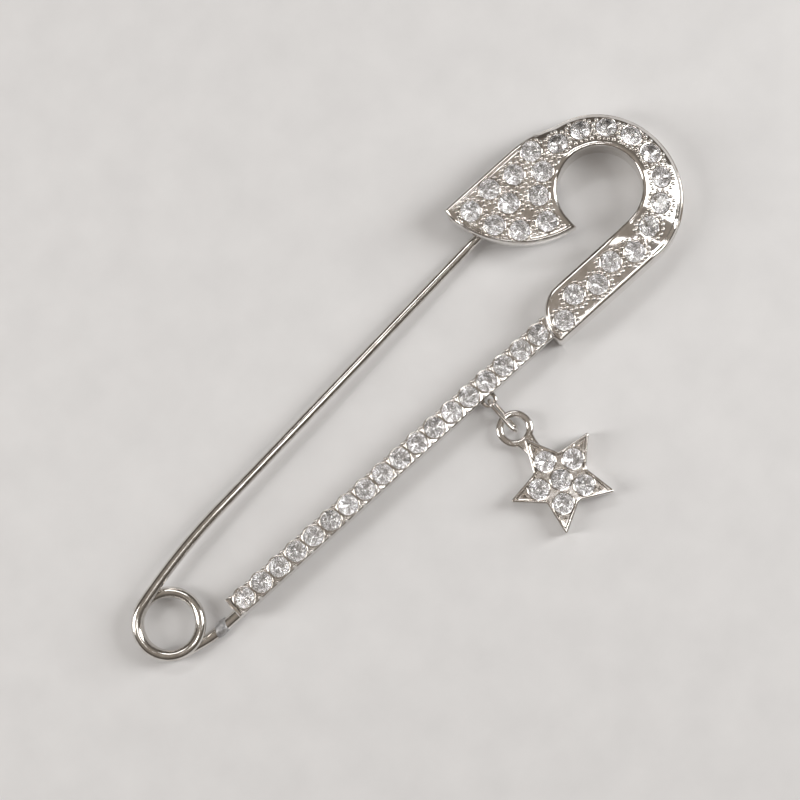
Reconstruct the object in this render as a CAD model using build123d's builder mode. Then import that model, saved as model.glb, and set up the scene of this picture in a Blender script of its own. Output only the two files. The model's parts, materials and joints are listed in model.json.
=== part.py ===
"""Kilt-pin brooch: a cast pave head and stone bar, a sprung pin, and a hanging star charm.

The brooch lies on its back. The origin is the middle of the stone bar's back. +X runs along the bar from
the coil to the head, +Y goes from the bar towards the pin, and +Z points out of the face. Millimetres.
"""
from build123d import *
from math import atan2, cos, degrees, hypot, radians, sin, tan
import os

os.makedirs("parts", exist_ok=True)

# Crystals: one size of chaton throughout
stone_diameter = 2.05
stone_table = 1.24
stone_crown = 0.32
stone_girdle = 0.08
stone_pavilion = 0.80
stone_culet = 0.30
stone_glue = 0.02
stone_sunk = 0.10
cell_gap = 0.16
cell = stone_diameter + cell_gap
stone_radius = stone_diameter / 2

# Stone bar
bar_stones = 18
bar_cell_play = 0.003
bar_pitch = cell + bar_cell_play
bar_wall = 0.12
bar_width = stone_diameter + 2 * bar_wall
bar_depth = 3.0
bar_end_wall = 0.17
bar_end_plate = 0.35
bar_corner = 0.25
bar_right = ((bar_stones - 1) * bar_pitch + stone_diameter) / 2 + bar_end_wall
bar_left = -bar_right - bar_end_plate

# Head: an arm that carries on from the bar, a loop round the finger hole, and a shield over the catch
head_top = 3.9
hole_radius = 4.1
hole_band = 0.775
loop_rim = 0.425
loop_width = 3.4
arm_width = 4.4
arm_pitch = cell + 0.12
arm_stones = 5
arm_zigzag = 0.40
arm_first_stone = 1.60
arm_end_margin = 0.80
arm_inner = 2.3
loop_stones = 8
loop_first_angle = 90.7
loop_stone_step = 24.4
loop_stone_tilt = 20.0
head_wall = 0.80
head_floor = 1.95
head_edge = 0.30
arm_shoulder = 2.6
arm_end_x = 0.60
arm_end_y = 1.0
arm_heel = 0.25
arm_overlap = 0.40
arm_foot = 0.30
loop_join_angle = 83.0
shield_from_hole = 2.0
shield_step = 1.2
shield_region = 20.0
arm_length = arm_stones * arm_pitch + arm_end_margin
hole_x = bar_right + arm_length
hole_y = arm_inner + hole_radius
loop_stone_ring = hole_radius + hole_band + stone_radius
loop_x_radius = loop_stone_ring + stone_radius + loop_rim
loop_y_radius = (2 * hole_radius + loop_width + arm_width) / 2
loop_y = hole_y + (loop_width - arm_width) / 2
shield_skirt_bottom = 1.75
shield_plate_bottom = 2.75
shield_depth_below_hole_centre = 1.2

# Shield outline, in stone cells from the hole's centre, and how far the hollow's corners draw in, in walls
shield_outer_tip_cells = (-5.58, 3.84)
shield_lower_tip_cells = (-5.66, 3.40)
shield_belly_cells = (-3.62, 0.14)
shield_turn_cells = (-0.70, 3.735)
shield_shoulder_cells = (-1.60, 3.85)
lower_tip_draw = 0.5
belly_draw_x = 0.6
belly_draw_y = 0.8
inner_tip_draw = 1.4
arm_end_draw_x = 0.6
arm_end_draw_y = 0.5

# Spring wire: coil, leg and pin
coil_wire = 1.08
coil_radius = 3.06
coil_pitch = 1.13
coil_clearance_below = 0.02
coil_gap_to_bar = 2.59
coil_leave_angle = 257.0
coil_turn = 360.0
top_turn_angle = 152.0
leg_y = -0.55
leg_drop = 0.6684
leg_bend_radius = 7.0
leg_joint_from_bar = 2.15
leg_wire_radius = coil_wire / 2
coil_x = bar_left - coil_gap_to_bar - coil_radius
coil_y = leg_y + leg_drop + coil_radius * sin(radians(coil_leave_angle - 180))
coil_low_z = coil_wire / 2 + coil_clearance_below
flexure_gap = 0.06
pin_shank = 1.0
pin_bend_length = 6.0
pin_taper_length = 4.0
pin_point_length = 5.0
pin_point_diameter = 0.25
pin_point_past_catch = 3.0
pin_rest_clearance = 0.10

# Solder over the butt joint of the leg and the bar's stub
solder_thickness = 0.17
solder_before = 0.60
solder_after = 0.70
solder_lowest = 0.15
solder_cut = 4 * coil_wire

# Catch under the shield: a channel open to the back
catch_length = 4.0
catch_wall = 0.50
catch_lip = 1.65
catch_play = 0.12
catch_web = 0.10
catch_cells_x = -3.82
catch_cells_y = 2.235
notch_play = 0.62
notch_length = 4.4
notch_from_catch = 4.2

# Star charm, its bail ring, the link and the eye on the bar
eye_stone_index = 13
eye_wire = 0.40
eye_radius = 0.64
eye_arm = 0.18
eye_z = 1.15
eye_past_gap = 0.14
link_wire = 0.40
link_bend = 0.64
link_slack = 0.10
link_length = 2.60
link_roll = 18.0
bail_radius = 1.45
bail_wire = 0.78
bail_thickness = 0.60
bail_corner = 0.20
bail_z = 1.04
bail_from_eye = 3.10
star_from_bail = 6.62
star_tip_radius = 5.35
star_waist_radius = 2.65
star_thickness = 1.9
star_tip_rounding = 0.12
star_stone_ring = stone_diameter + 0.25
star_stones = 5
eye_x = (eye_stone_index + 0.5 - (bar_stones - 1) / 2) * bar_pitch + eye_past_gap


def stone_plane(x, y, surface, lean=0.0, heading=0.0):
    """The plane on which a stone's girdle rests, leaning outwards by lean degrees along heading."""
    flat = Plane(origin=(x, y, surface - stone_sunk))
    return Plane(flat.location * Location((0, 0, 0), (0, 0, heading)) * Location((0, 0, 0), (0, lean, 0)))


def chaton(gap, rise):
    """A round crystal, or the seat for it when gap and rise open it up."""
    girdle = stone_radius + gap
    with BuildPart() as gem:
        with BuildSketch(Plane.XZ):
            with BuildLine():
                Polyline(
                    (0, -stone_pavilion - gap),
                    (stone_culet / 2 + gap, -stone_pavilion - gap),
                    (girdle, 0),
                    (girdle, stone_girdle + rise),
                    (girdle if rise else stone_table / 2, stone_girdle + stone_crown + rise),
                    (0, stone_girdle + stone_crown + rise),
                    close=True,
                )
            make_face()
        revolve(axis=Axis.Z)
    return gem.part


crystal = chaton(0, 0)
seat = chaton(stone_glue, 1.0)


def set_stones(prefix, planes):
    """Writes one crystal for each seat plane."""
    for number, plane in enumerate(planes, start=1):
        with BuildPart() as stone:
            with Locations(plane.location):
                add(crystal)
        stone.part.label = f"{prefix}_{number:02d}"
        export_step(stone.part, f"parts/{stone.part.label}.step")


def on_head(across, up):
    """A point of the shield, given in stone cells from the hole's centre."""
    return (hole_x + across * cell, hole_y + up * cell)


# ---------------------------------------------------------------- where the crystals sit
bar_planes = [
    stone_plane((i - (bar_stones - 1) / 2) * bar_pitch, 0, bar_depth) for i in range(bar_stones)
]

shield_cells = [
    (-4.78, 3.01), (-3.54, 3.19), (-2.33, 2.94), (-1.10, 3.21), (-1.32, 2.22),
    (-2.14, 1.55), (-3.32, 2.16), (-4.41, 1.87), (-3.76, 0.96), (-2.63, 0.47),
]
head_planes = [stone_plane(*on_head(*place), head_top) for place in shield_cells]
for i in range(loop_stones):
    around = loop_first_angle - i * loop_stone_step
    head_planes.append(
        stone_plane(
            hole_x + loop_stone_ring * cos(radians(around)),
            hole_y + loop_stone_ring * sin(radians(around)),
            head_top,
            loop_stone_tilt,
            around,
        )
    )
arm_middle = arm_inner - arm_width / 2
for i in range(arm_stones):
    side = -1 if i % 2 == 0 else 1
    out = 2 if i == arm_stones - 1 else 1
    head_planes.append(
        stone_plane(
            hole_x - arm_first_stone - i * arm_pitch,
            arm_middle + side * out * arm_zigzag,
            head_top,
        )
    )

# ---------------------------------------------------------------- pin line and catch place
coil_top_z = coil_low_z + coil_pitch * (coil_turn + top_turn_angle) / 360
pin_leave_angle = coil_leave_angle - top_turn_angle
pin_start = Vector(
    coil_x + coil_radius * cos(radians(pin_leave_angle)),
    coil_y + coil_radius * sin(radians(pin_leave_angle)),
    coil_top_z,
)
catch_x, catch_y = on_head(catch_cells_x, catch_cells_y)
pin_catch = Vector(catch_x, catch_y, catch_lip - pin_shank / 2 - pin_rest_clearance)
pin_line = (pin_catch - pin_start).normalized()
pin_side = Vector(-pin_line.Y, pin_line.X, 0).normalized()
pin_plane = Plane(origin=pin_start, x_dir=pin_line, z_dir=pin_line.cross(pin_side))
pin_heading = degrees(atan2(pin_line.Y, pin_line.X))
bend_angle = pin_leave_angle - 90 - pin_heading
bend_along = pin_bend_length * cos(radians(bend_angle))
bend_across = pin_bend_length * sin(radians(bend_angle))
catch_along = (pin_catch - pin_start).length
straight_angle = degrees(atan2(bend_across, catch_along - bend_along))
pin_straight = hypot(catch_along - bend_along, bend_across) - pin_bend_length + pin_point_past_catch
bend_corner = pin_plane.from_local_coords(Vector(bend_along, bend_across, 0))
bend_start = pin_start + (bend_corner - pin_start).normalized() * flexure_gap
bend_end = bend_corner + (pin_catch - bend_corner).normalized() * pin_bend_length
pin_run = radians(pin_heading - straight_angle)
pin_flat_line = (cos(pin_run), sin(pin_run), 0)
notch_place = (
    catch_x - notch_from_catch * cos(pin_run),
    catch_y - notch_from_catch * sin(pin_run),
    shield_skirt_bottom,
)

# ---------------------------------------------------------------- head casting
arm_outer = arm_inner - arm_width
shield_outer_tip = on_head(*shield_outer_tip_cells)
shield_lower_tip = on_head(*shield_lower_tip_cells)
shield_belly = on_head(*shield_belly_cells)
shield_turn = on_head(*shield_turn_cells)
shield_shoulder = on_head(*shield_shoulder_cells)
inner_tip_y = hole_y - shield_depth_below_hole_centre


def head_outline(inset):
    """The head's outline, or the hollow's when inset is the wall between them."""
    ring = hole_radius + inset
    loop_end = (
        hole_x + (loop_x_radius - inset) * cos(radians(loop_join_angle)),
        loop_y + (loop_y_radius - inset) * sin(radians(loop_join_angle)),
    )
    outer_tip = (shield_outer_tip[0] + inset, shield_outer_tip[1] - inset)
    lower_tip = (shield_lower_tip[0] + inset, shield_lower_tip[1] - lower_tip_draw * inset)
    belly = (shield_belly[0] + belly_draw_x * inset, shield_belly[1] + belly_draw_y * inset)
    inner_tip = (hole_x - ring, inner_tip_y + inner_tip_draw * inset)
    arm_corner = (bar_right + arm_shoulder, arm_inner - inset)
    shield_corner = (shield_shoulder[0], shield_shoulder[1] - inset)
    arm_end = (
        bar_right + arm_end_x + arm_end_draw_x * inset,
        arm_middle + arm_end_y - arm_end_draw_y * inset,
    )
    heel = (bar_right - arm_heel + inset, arm_outer + arm_heel)
    EllipticalCenterArc(
        (hole_x, loop_y),
        loop_x_radius - inset,
        loop_y_radius - inset,
        start_angle=-90,
        arc_size=90 + loop_join_angle,
    )
    ThreePointArc(loop_end, (shield_turn[0], shield_turn[1] - inset), shield_corner)
    Line(shield_corner, outer_tip)
    Line(outer_tip, lower_tip)
    ThreePointArc(lower_tip, belly, inner_tip)
    Line(inner_tip, (hole_x - ring, hole_y))
    ThreePointArc((hole_x - ring, hole_y), (hole_x, hole_y + ring), (hole_x + ring, hole_y))
    RadiusArc((hole_x + ring, hole_y), (hole_x, arm_inner - inset), ring)
    Line((hole_x, arm_inner - inset), arm_corner)
    ThreePointArc(arm_corner, arm_end, heel)
    Line(heel, (heel[0] + arm_foot, arm_outer + inset))
    Line((heel[0] + arm_foot, arm_outer + inset), (hole_x, arm_outer + inset))


with BuildPart() as head_blank:
    with BuildSketch():
        with BuildLine():
            head_outline(0)
        make_face()
    extrude(amount=head_top)
    outer_top = head_blank.faces().sort_by(Axis.Z)[-1]
    chamfer(outer_top.edges(), head_edge)
    # the shield stands clear of the back so that the pin swings beneath it
    with BuildSketch():
        with Locations((hole_x - shield_from_hole, inner_tip_y - shield_step)):
            Rectangle(shield_region, shield_region, align=(Align.MAX, Align.MIN))
    extrude(amount=shield_skirt_bottom, mode=Mode.SUBTRACT)
    # hollow back
    with BuildSketch():
        with BuildLine():
            head_outline(head_wall)
        make_face()
    extrude(amount=head_floor, mode=Mode.SUBTRACT)
    with BuildSketch():
        with BuildLine():
            head_outline(head_wall)
        make_face()
        with Locations((hole_x - shield_from_hole, inner_tip_y - shield_step)):
            Rectangle(shield_region, shield_region, align=(Align.MAX, Align.MIN), mode=Mode.INTERSECT)
    extrude(amount=shield_plate_bottom, mode=Mode.SUBTRACT)
    # notch in the shield's skirt, where the pin enters
    with BuildSketch(Plane(origin=notch_place, x_dir=pin_flat_line, z_dir=(0, 0, 1))):
        Rectangle(notch_length, pin_shank + 2 * notch_play)
    extrude(amount=shield_plate_bottom - shield_skirt_bottom, mode=Mode.SUBTRACT)
with BuildPart() as head_casting:
    add(head_blank.part)
    with Locations(*[plane.location for plane in head_planes]):
        add(seat, mode=Mode.SUBTRACT)
head_casting.part.label = "head_casting"
export_step(head_casting.part, "parts/head_casting.step")
set_stones("head_crystal", head_planes)

# ---------------------------------------------------------------- bar casting with its stub
with BuildPart() as bar_casting:
    with BuildSketch(Plane.YZ.offset(bar_left)) as bar_section:
        with Locations((0, bar_depth / 2)):
            Rectangle(bar_width, bar_depth)
        fillet(bar_section.vertices(), bar_corner)
    extrude(amount=bar_right - bar_left + arm_overlap)
    with BuildSketch(Plane.YZ.offset(bar_left - leg_joint_from_bar)):
        with Locations((leg_y, coil_low_z)):
            Circle(leg_wire_radius)
    extrude(amount=leg_joint_from_bar + bar_end_plate)
    add(head_casting.part, mode=Mode.SUBTRACT)
    with Locations(*[plane.location for plane in bar_planes]):
        add(seat, mode=Mode.SUBTRACT)
bar_casting.part.label = "bar_casting"
export_step(bar_casting.part, "parts/bar_casting.step")
set_stones("bar_crystal", bar_planes)

# ---------------------------------------------------------------- catch
catch_outer = pin_shank + 2 * catch_play + 2 * catch_wall
with BuildPart() as catch:
    with BuildSketch(Plane(origin=(catch_x, catch_y, catch_lip), x_dir=pin_flat_line, z_dir=(0, 0, 1))):
        Rectangle(catch_length, catch_outer)
    extrude(amount=shield_plate_bottom - catch_lip)
    with BuildSketch(Plane(origin=(catch_x, catch_y, catch_lip), x_dir=pin_flat_line, z_dir=(0, 0, 1))):
        Rectangle(catch_length, pin_shank + 2 * catch_play)
    extrude(amount=shield_plate_bottom - catch_lip - catch_web, mode=Mode.SUBTRACT)
catch.part.label = "catch"
export_step(catch.part, "parts/catch.step")

# ---------------------------------------------------------------- spring wire
leave = radians(coil_leave_angle)
leg_start = Vector(coil_x + coil_radius * cos(leave), coil_y + coil_radius * sin(leave), coil_low_z)
leg_run = (leg_start.Y - leg_y) / tan(radians(270 - coil_leave_angle))
with BuildPart() as wire_leg:
    with BuildLine(Plane.XY.offset(coil_low_z)) as leg_path:
        FilletPolyline(
            (leg_start.X, leg_start.Y),
            (leg_start.X + leg_run, leg_y),
            (bar_left - leg_joint_from_bar, leg_y),
            radius=leg_bend_radius,
        )
    with BuildSketch(Plane(origin=leg_path.line @ 0, z_dir=leg_path.line % 0)):
        Circle(leg_wire_radius)
    sweep(path=leg_path.line)
wire_leg.part.label = "wire_leg"
export_step(wire_leg.part, "parts/wire_leg.step")


def coil_stretch(start_angle, sweep_angle, start_z):
    """Close-wound wire that climbs clockwise from start_angle through sweep_angle."""
    with BuildPart() as wound:
        with BuildLine() as turns:
            Helix(coil_pitch, coil_pitch * sweep_angle / 360, coil_radius, lefthand=True)
        with BuildSketch(Plane(origin=turns.line @ 0, z_dir=turns.line % 0)):
            Circle(leg_wire_radius)
        sweep(path=turns.line)
    with BuildPart() as stretch:
        with Locations(Location((coil_x, coil_y, start_z), (0, 0, start_angle))):
            add(wound.part)
    return stretch.part


spring_coil = coil_stretch(coil_leave_angle, coil_turn, coil_low_z)
spring_coil.label = "spring_coil"
export_step(spring_coil, "parts/spring_coil.step")

coil_top_turn = coil_stretch(
    coil_leave_angle - coil_turn, top_turn_angle, coil_low_z + coil_pitch * coil_turn / 360
)
coil_top_turn.label = "coil_top_turn"
export_step(coil_top_turn, "parts/coil_top_turn.step")

# ---------------------------------------------------------------- pin: bend, taper, straight shank and point
pin_thin = pin_shank / 2
with BuildPart() as pin_stem:
    with BuildLine() as pin_bend:
        Bezier(bend_start, bend_corner, bend_end)
    with BuildSketch(Plane(origin=pin_bend.line @ 0, z_dir=pin_bend.line % 0)):
        Circle(leg_wire_radius)
    sweep(path=pin_bend.line)
    shank_plane = Plane(origin=pin_bend.line @ 1, z_dir=pin_bend.line % 1)
    with BuildSketch(shank_plane):
        Circle(leg_wire_radius)
    with BuildSketch(shank_plane.offset(pin_taper_length)):
        Circle(pin_thin)
    loft()
    with BuildSketch(shank_plane.offset(pin_taper_length)):
        Circle(pin_thin)
    extrude(amount=pin_straight - pin_taper_length - pin_point_length)
    with BuildSketch(shank_plane.offset(pin_straight - pin_point_length)):
        Circle(pin_thin)
    with BuildSketch(shank_plane.offset(pin_straight)):
        Circle(pin_point_diameter / 2)
    loft()
pin_stem.part.label = "pin_stem"
export_step(pin_stem.part, "parts/pin_stem.step")

# ---------------------------------------------------------------- solder saddle over the leg's butt joint
joint_x = bar_left - leg_joint_from_bar
with BuildPart() as solder_joint:
    with BuildSketch(Plane.YZ.offset(joint_x - solder_before)) as solder_section:
        with Locations((leg_y, coil_low_z)):
            Circle(leg_wire_radius + solder_thickness)
            Circle(leg_wire_radius, mode=Mode.SUBTRACT)
        with Locations((leg_y, solder_lowest)):
            Rectangle(solder_cut, solder_cut, align=(Align.CENTER, Align.MAX), mode=Mode.SUBTRACT)
    extrude(amount=solder_before + solder_after)
solder_joint.part.label = "solder_joint"
export_step(solder_joint.part, "parts/solder_joint.step")

# ---------------------------------------------------------------- eye on the bar's side
bar_side = -bar_width / 2
eye_y = bar_side - eye_arm - eye_radius
with BuildPart() as charm_eye:
    with BuildLine(Plane.XY.offset(eye_z)) as eye_path:
        Line((eye_x - eye_radius, bar_side), (eye_x - eye_radius, bar_side - eye_arm))
        ThreePointArc(
            (eye_x - eye_radius, bar_side - eye_arm),
            (eye_x, eye_y),
            (eye_x + eye_radius, bar_side - eye_arm),
        )
        Line((eye_x + eye_radius, bar_side - eye_arm), (eye_x + eye_radius, bar_side))
    with BuildSketch(Plane(origin=eye_path.line @ 0, z_dir=eye_path.line % 0)):
        Circle(eye_wire / 2)
    sweep(path=eye_path.line)
charm_eye.part.label = "charm_eye"
export_step(charm_eye.part, "parts/charm_eye.step")

# ---------------------------------------------------------------- link from the eye to the star's ring
bail_y = eye_y - bail_from_eye
link_from = Vector(eye_x, eye_y, eye_z)
link_line = (Vector(eye_x, bail_y + bail_radius, bail_z) - link_from).normalized()
near_bend = link_from + link_line * link_slack
far_bend = near_bend + link_line * link_length
across_link = Vector(1, 0, 0).cross(link_line).rotate(Axis((0, 0, 0), link_line), link_roll)
link_hinge = link_line.cross(across_link)
with BuildPart() as charm_link:
    for middle, direction in ((near_bend, link_line * -1), (far_bend, link_line)):
        with BuildSketch(Plane(origin=middle, x_dir=across_link, z_dir=direction)):
            with Locations((link_bend, 0)):
                Circle(link_wire / 2)
        revolve(axis=Axis(middle, link_hinge), revolution_arc=-180 if direction is link_line else 180)
    with BuildSketch(Plane(origin=near_bend, x_dir=across_link, z_dir=link_line)):
        with Locations((link_bend, 0), (-link_bend, 0)):
            Circle(link_wire / 2)
    extrude(amount=link_length)
charm_link.part.label = "charm_link"
export_step(charm_link.part, "parts/charm_link.step")

# ---------------------------------------------------------------- star casting with its bail ring
star_y = bail_y - star_from_bail
star_places = [(eye_x, star_y)]
for i in range(star_stones):
    toward_tip = radians(90 + i * 360 / star_stones)
    star_places.append(
        (eye_x + star_stone_ring * cos(toward_tip), star_y + star_stone_ring * sin(toward_tip))
    )
star_planes = [stone_plane(x, y, star_thickness) for x, y in star_places]
star_outline = []
for i in range(2 * star_stones):
    reach = star_tip_radius if i % 2 == 0 else star_waist_radius
    turn = radians(90 + i * 180 / star_stones)
    star_outline.append((eye_x + reach * cos(turn), star_y + reach * sin(turn)))
with BuildPart() as star_casting:
    with BuildSketch() as star_sketch:
        with BuildLine():
            Polyline(*star_outline, close=True)
        make_face()
        fillet(star_sketch.vertices(), star_tip_rounding)
    extrude(amount=star_thickness)
    with BuildSketch(Plane(origin=(eye_x, bail_y, bail_z), x_dir=(1, 0, 0), z_dir=(0, -1, 0))):
        with Locations((bail_radius, 0)):
            RectangleRounded(bail_wire, bail_thickness, bail_corner)
    revolve(axis=Axis((eye_x, bail_y, 0), (0, 0, 1)))
    with Locations(*[plane.location for plane in star_planes]):
        add(seat, mode=Mode.SUBTRACT)
star_casting.part.label = "star_casting"
export_step(star_casting.part, "parts/star_casting.step")
set_stones("star_crystal", star_planes)

print("origins, mm")
print("  coil", coil_x, coil_y, "pin start", pin_start, "pin heading", pin_heading)
print("  pin line", pin_line, "shank from", shank_plane.origin, "towards", shank_plane.z_dir)
print("  straight shank", pin_straight - pin_taper_length - pin_point_length)
print("  catch", pin_catch, "eye", eye_x, eye_y, eye_z, "bail", bail_y, "star", star_y)
print("  hole", hole_x, hole_y, "bar", bar_left, bar_right)
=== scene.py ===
"""Kilt-pin brooch: detailed pave castings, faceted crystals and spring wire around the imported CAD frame.

Shapes are worked out in millimetres in the frame's own axes, and become metres when a piece is made.
"""
import json
import math

import bmesh
import bpy
import numpy as np
from mathutils import Matrix, Vector
from mathutils.geometry import delaunay_2d_cdt

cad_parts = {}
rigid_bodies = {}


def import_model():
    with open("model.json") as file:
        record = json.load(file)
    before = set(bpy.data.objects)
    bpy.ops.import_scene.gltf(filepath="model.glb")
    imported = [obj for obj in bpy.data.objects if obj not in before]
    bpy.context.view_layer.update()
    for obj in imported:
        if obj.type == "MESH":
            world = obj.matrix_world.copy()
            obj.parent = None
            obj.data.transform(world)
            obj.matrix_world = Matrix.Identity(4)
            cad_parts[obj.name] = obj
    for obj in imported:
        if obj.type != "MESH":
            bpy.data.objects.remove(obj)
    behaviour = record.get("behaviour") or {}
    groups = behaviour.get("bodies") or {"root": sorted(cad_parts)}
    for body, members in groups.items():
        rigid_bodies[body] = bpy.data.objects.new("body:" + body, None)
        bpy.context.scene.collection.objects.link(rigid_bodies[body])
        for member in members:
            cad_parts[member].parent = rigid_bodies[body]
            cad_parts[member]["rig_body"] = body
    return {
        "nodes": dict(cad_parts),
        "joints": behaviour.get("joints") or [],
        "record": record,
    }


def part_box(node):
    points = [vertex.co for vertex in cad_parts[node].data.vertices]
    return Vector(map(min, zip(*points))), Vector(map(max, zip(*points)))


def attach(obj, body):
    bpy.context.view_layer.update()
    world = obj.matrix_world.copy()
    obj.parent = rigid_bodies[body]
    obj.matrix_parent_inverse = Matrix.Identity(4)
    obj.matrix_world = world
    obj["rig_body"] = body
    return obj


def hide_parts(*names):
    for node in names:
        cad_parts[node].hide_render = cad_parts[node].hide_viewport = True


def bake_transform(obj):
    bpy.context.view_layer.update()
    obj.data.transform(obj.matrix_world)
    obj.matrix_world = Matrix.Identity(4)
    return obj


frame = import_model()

for leftover in [o for o in bpy.data.objects if o.type != "EMPTY" and o.name not in frame["nodes"]]:
    bpy.data.objects.remove(leftover)
bpy.context.view_layer.update()

MM = 0.001

# Crystals, as the CAD makes them
STONE_RADIUS = 1.025
TABLE_SHARE = 0.60
CROWN_HEIGHT = 0.32
GIRDLE_HEIGHT = 0.08
PAVILION_DEPTH = 0.78
PIT_GAP = 0.05
PIT_DEPTH = 0.86

# Camera: where it looks, how far it stands, and how it is turned and tipped
LOOK_AT = (4.84, 4.33, 1.5)
CAMERA_DISTANCE = 280.0
CAMERA_TURN = 42.0
CAMERA_TIP = 6.0
CAMERA_FIELD = 76.85
SENSOR = 36.0


# ---------------------------------------------------------------- meshes
class Shells:
    """Closed shells, in mm, that together make one piece."""

    def __init__(self):
        self.points = []
        self.faces = []
        self.materials = []

    def add(self, points, faces, material=0):
        start = len(self.points)
        self.points.extend([tuple(p) for p in points])
        self.faces.extend([tuple(start + i for i in face) for face in faces])
        self.materials.extend([material] * len(faces))

    def piece(self, name, materials, sharp=35.0):
        mesh = bpy.data.meshes.new(name)
        mesh.from_pydata((np.array(self.points, float) * MM).tolist(), [], self.faces)
        for material in materials:
            mesh.materials.append(material)
        mesh.polygons.foreach_set("material_index", self.materials)
        work = bmesh.new()
        work.from_mesh(mesh)
        bmesh.ops.recalc_face_normals(work, faces=work.faces)
        work.to_mesh(mesh)
        work.free()
        mesh.shade_smooth()
        mesh.set_sharp_from_angle(angle=math.radians(sharp))
        made = bpy.data.objects.new(name, mesh)
        bpy.context.scene.collection.objects.link(made)
        return made


def unit(v):
    v = np.asarray(v, float)
    return v / np.linalg.norm(v)


def across(axis):
    """Two directions square to axis and to each other."""
    axis = unit(axis)
    helper = (1.0, 0, 0) if abs(axis[0]) < 0.8 else (0, 1.0, 0)
    u = unit(np.cross(np.cross(axis, helper), axis))
    return u, np.cross(axis, u)


def lathe(profile, centre, axis, segments=40, closed_ring=False):
    """A profile of (radius, height) points turned round an axis, from axis to axis unless it closes."""
    u, v = across(axis)
    n = unit(axis)
    points, rings = [], []
    for radius, height in profile:
        if radius < 1e-6:
            rings.append([len(points)])
            points.append(centre + n * height)
            continue
        rings.append(list(range(len(points), len(points) + segments)))
        for k in range(segments):
            turn = 2 * math.pi * k / segments
            points.append(centre + n * height + radius * (math.cos(turn) * u + math.sin(turn) * v))
    faces = []
    pairs = list(zip(rings, rings[1:]))
    if closed_ring:
        pairs.append((rings[-1], rings[0]))
    for lower, upper in pairs:
        for k in range(segments):
            m = (k + 1) % segments
            corners = [
                lower[k % len(lower)],
                lower[m % len(lower)],
                upper[m % len(upper)],
                upper[k % len(upper)],
            ]
            kept = list(dict.fromkeys(corners))
            if len(kept) > 2:
                faces.append(kept)
    return points, faces


def bead(centre, axis, radius, height, segments=12, sunk=0.5):
    """A small domed bead whose foot is sunk in the metal."""
    steps = 5
    profile = [(0, -sunk * radius), (radius, -sunk * radius)]
    for i in range(steps + 1):
        turn = math.pi / 2 * i / steps
        profile.append((radius * math.cos(turn), height * math.sin(turn)))
    profile[-1] = (0, height)
    return lathe(profile, np.asarray(centre, float), axis, segments)


def tube(path, radii, ring=20, closed=False):
    """A round wire along a path of points, with one radius or one for each point."""
    path = np.asarray(path, float)
    count = len(path)
    radii = np.broadcast_to(np.asarray(radii, float), (count,))
    if closed:
        runs = np.roll(path, -1, 0) - np.roll(path, 1, 0)
    else:
        runs = np.gradient(path, axis=0)
    side = across(runs[0])[0]
    points, faces = [], []
    for p, run, radius in zip(path, runs, radii):
        run = unit(run)
        side = unit(side - run * (side @ run))
        other = np.cross(run, side)
        for k in range(ring):
            turn = 2 * math.pi * k / ring
            points.append(p + radius * (math.cos(turn) * side + math.sin(turn) * other))
    for i in range(count if closed else count - 1):
        here, there = i * ring, ((i + 1) % count) * ring
        for k in range(ring):
            m = (k + 1) % ring
            faces.append((here + k, here + m, there + m, there + k))
    if not closed:
        faces.append(tuple(range(ring)))
        faces.append(tuple((count - 1) * ring + k for k in range(ring)))
    return points, faces


# ---------------------------------------------------------------- what the frame says
def seat_of(node):
    """The centre of a crystal's girdle plane and the direction its table faces, from its CAD node's table."""
    found = {}
    for face in frame["nodes"][node].data.polygons:
        if face.normal.z > 0.5:
            key = tuple(round(c, 2) + 0.0 for c in face.normal)
            area, normal, moment = found.get(key, (0.0, Vector(), Vector()))
            found[key] = (
                area + face.area,
                normal + face.normal * face.area,
                moment + face.center * face.area,
            )
    area, normal, moment = max(found.values(), key=lambda kept: kept[0])
    axis = unit(normal)
    table = np.array(moment / area) / MM
    return table - axis * (GIRDLE_HEIGHT + CROWN_HEIGHT), axis


def seats_of(prefix):
    return [seat_of(name) for name in sorted(frame["nodes"]) if name.startswith(prefix)]


def welded(node):
    """A CAD node's mesh as bmesh, its shared points joined."""
    work = bmesh.new()
    work.from_mesh(frame["nodes"][node].data)
    bmesh.ops.remove_doubles(work, verts=work.verts, dist=1e-7)
    return work


def cut_at(work, height, drop_above):
    """Cuts a bmesh level at a height in mm and returns the cut's edges."""
    everything = work.verts[:] + work.edges[:] + work.faces[:]
    cut = bmesh.ops.bisect_plane(
        work, geom=everything, plane_co=(0, 0, height * MM), plane_no=(0, 0, 1), clear_outer=drop_above
    )
    return [e for e in cut["geom_cut"] if isinstance(e, bmesh.types.BMEdge)]


def section(node, height):
    """The largest loop of a CAD node's level section, anticlockwise, as an N by 2 array in mm."""
    work = welded(node)
    edges = set(cut_at(work, height, True))
    loops = []
    while edges:
        edge = edges.pop()
        loop = [edge.verts[0], edge.verts[1]]
        while True:
            onward = [e for e in loop[-1].link_edges if e in edges]
            if not onward:
                break
            edges.remove(onward[0])
            loop.append(onward[0].other_vert(loop[-1]))
        loops.append(np.array([v.co[:2] for v in loop[:-1]]) / MM)
    work.free()

    def area(loop):
        x, y = loop.T
        return 0.5 * np.sum(x * np.roll(y, -1) - np.roll(x, -1) * y)

    widest = max(loops, key=lambda loop: abs(area(loop)))
    return widest if area(widest) > 0 else widest[::-1]


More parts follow.
